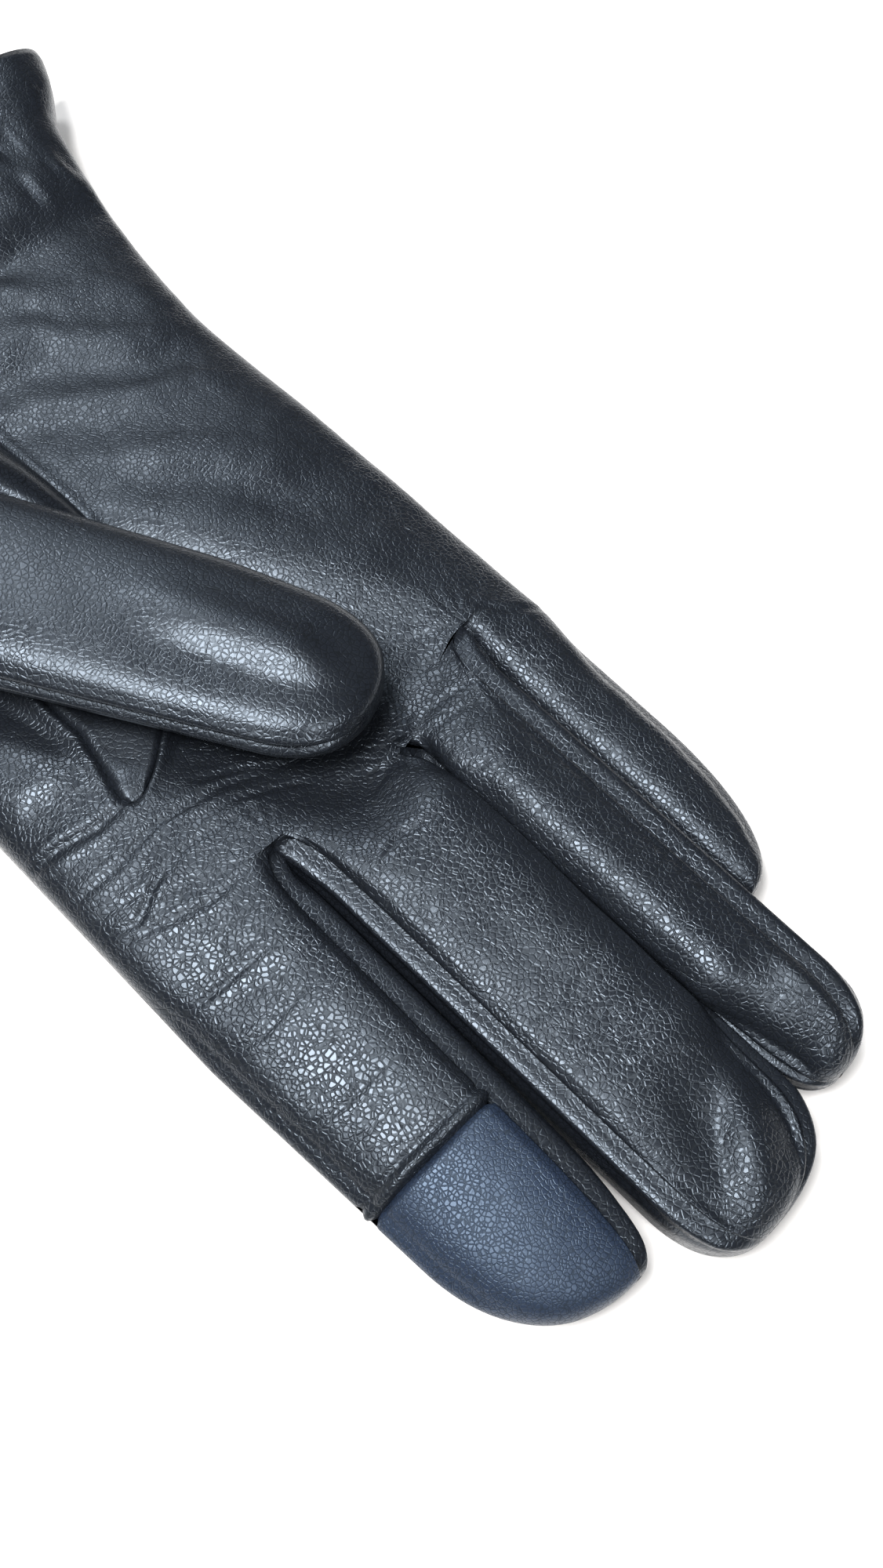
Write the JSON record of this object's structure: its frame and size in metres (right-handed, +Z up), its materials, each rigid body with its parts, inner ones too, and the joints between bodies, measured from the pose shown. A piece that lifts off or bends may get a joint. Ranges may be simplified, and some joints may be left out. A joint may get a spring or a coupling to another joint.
{
  "type": "leather dress glove",
  "caption": "Right-hand leather dress glove lying palm up, with sewn finger gussets, a thumb folded over the palm and a touch-screen index tip.",
  "frame": {"origin": "centre of the flat rest face under the palm, on the surface the glove lies on", "axes": "+Y from the cuff to the fingertips, +X from the little finger to the index finger, +Z up through the upturned palm"},
  "size_m": [0.1149, 0.2527, 0.0278],
  "materials": {
    "leather": "smooth black nappa with a soft sheen",
    "touch_leather": "blue-grey conductive leather, softer sheen",
    "lining": "fine knitted lining",
    "elastic": "woven elastic",
    "label": "blank woven satin"
  },
  "bodies": {
    "hand": {"palm_panel": "leather", "back_panel": "leather", "palm_lining": "lining", "back_lining": "lining", "cuff_hem": "leather", "wrist_elastic": "elastic", "size_label": "label", "thumb_base": "leather", "thumb_gusset": "leather"},
    "thumb_lower": {"thumb_top_lower": "leather", "thumb_under_lower": "leather", "thumb_lining_lower": "lining"},
    "thumb_upper": {"thumb_top_upper": "leather", "thumb_under_upper": "leather", "thumb_lining_upper": "lining"},
    "index_lower": {"index_front_lower": "leather", "index_back_lower": "leather", "index_lining_lower": "lining", "fourchette_index_lower": "leather"},
    "index_upper": {"index_front_upper": "leather", "index_back_upper": "leather", "index_lining_upper": "lining", "fourchette_index_upper": "leather", "touch_tip": "touch_leather"},
    "middle_lower": {"middle_front_lower": "leather", "middle_back_lower": "leather", "middle_lining_lower": "lining", "fourchette_middle_a_lower": "leather", "fourchette_middle_b_lower": "leather"},
    "middle_upper": {"middle_front_upper": "leather", "middle_back_upper": "leather", "middle_lining_upper": "lining", "fourchette_middle_a_upper": "leather", "fourchette_middle_b_upper": "leather"},
    "ring_lower": {"ring_front_lower": "leather", "ring_back_lower": "leather", "ring_lining_lower": "lining", "fourchette_ring_a_lower": "leather", "fourchette_ring_b_lower": "leather"},
    "ring_upper": {"ring_front_upper": "leather", "ring_back_upper": "leather", "ring_lining_upper": "lining", "fourchette_ring_a_upper": "leather", "fourchette_ring_b_upper": "leather"},
    "little_lower": {"little_front_lower": "leather", "little_back_lower": "leather", "little_lining_lower": "lining", "fourchette_little_lower": "leather"},
    "little_upper": {"little_front_upper": "leather", "little_back_upper": "leather", "little_lining_upper": "lining", "fourchette_little_upper": "leather"}
  },
  "joints": [
    {"name": "thumb_swing", "type": "hinge", "parent": "hand", "child": "thumb_lower", "pos_m": [0.0331, -0.0208, 0.0218], "axis": [0, 0, -1], "range_deg": [0, 85]},
    {"name": "thumb_bend", "type": "hinge", "parent": "thumb_lower", "child": "thumb_upper", "pos_m": [0.00345, 0.00278, 0.0215], "axis": [0, 0, 1], "range_deg": [0, 45]},
    {"name": "index_knuckle", "type": "hinge", "parent": "hand", "child": "index_lower", "pos_m": [0.0314, 0.043, 0.01], "axis": [1, 0, 0], "range_deg": [0, 80]},
    {"name": "index_middle_joint", "type": "hinge", "parent": "index_lower", "child": "index_upper", "pos_m": [0.0314, 0.072, 0.01], "axis": [1, 0, 0], "range_deg": [0, 90]},
    {"name": "middle_knuckle", "type": "hinge", "parent": "hand", "child": "middle_lower", "pos_m": [0.0013, 0.046, 0.01], "axis": [1, 0, 0], "range_deg": [0, 80]},
    {"name": "middle_middle_joint", "type": "hinge", "parent": "middle_lower", "child": "middle_upper", "pos_m": [0.0013, 0.078, 0.01], "axis": [1, 0, 0], "range_deg": [0, 90]},
    {"name": "ring_knuckle", "type": "hinge", "parent": "hand", "child": "ring_lower", "pos_m": [-0.0204, 0.043, 0.01], "axis": [1, 0, 0], "range_deg": [0, 80]},
    {"name": "ring_middle_joint", "type": "hinge", "parent": "ring_lower", "child": "ring_upper", "pos_m": [-0.0204, 0.073, 0.01], "axis": [1, 0, 0], "range_deg": [0, 90]},
    {"name": "little_knuckle", "type": "hinge", "parent": "hand", "child": "little_lower", "pos_m": [-0.0369, 0.037, 0.01], "axis": [1, 0, 0], "range_deg": [0, 80]},
    {"name": "little_middle_joint", "type": "hinge", "parent": "little_lower", "child": "little_upper", "pos_m": [-0.0369, 0.057, 0.01], "axis": [1, 0, 0], "range_deg": [0, 90]}
  ]
}
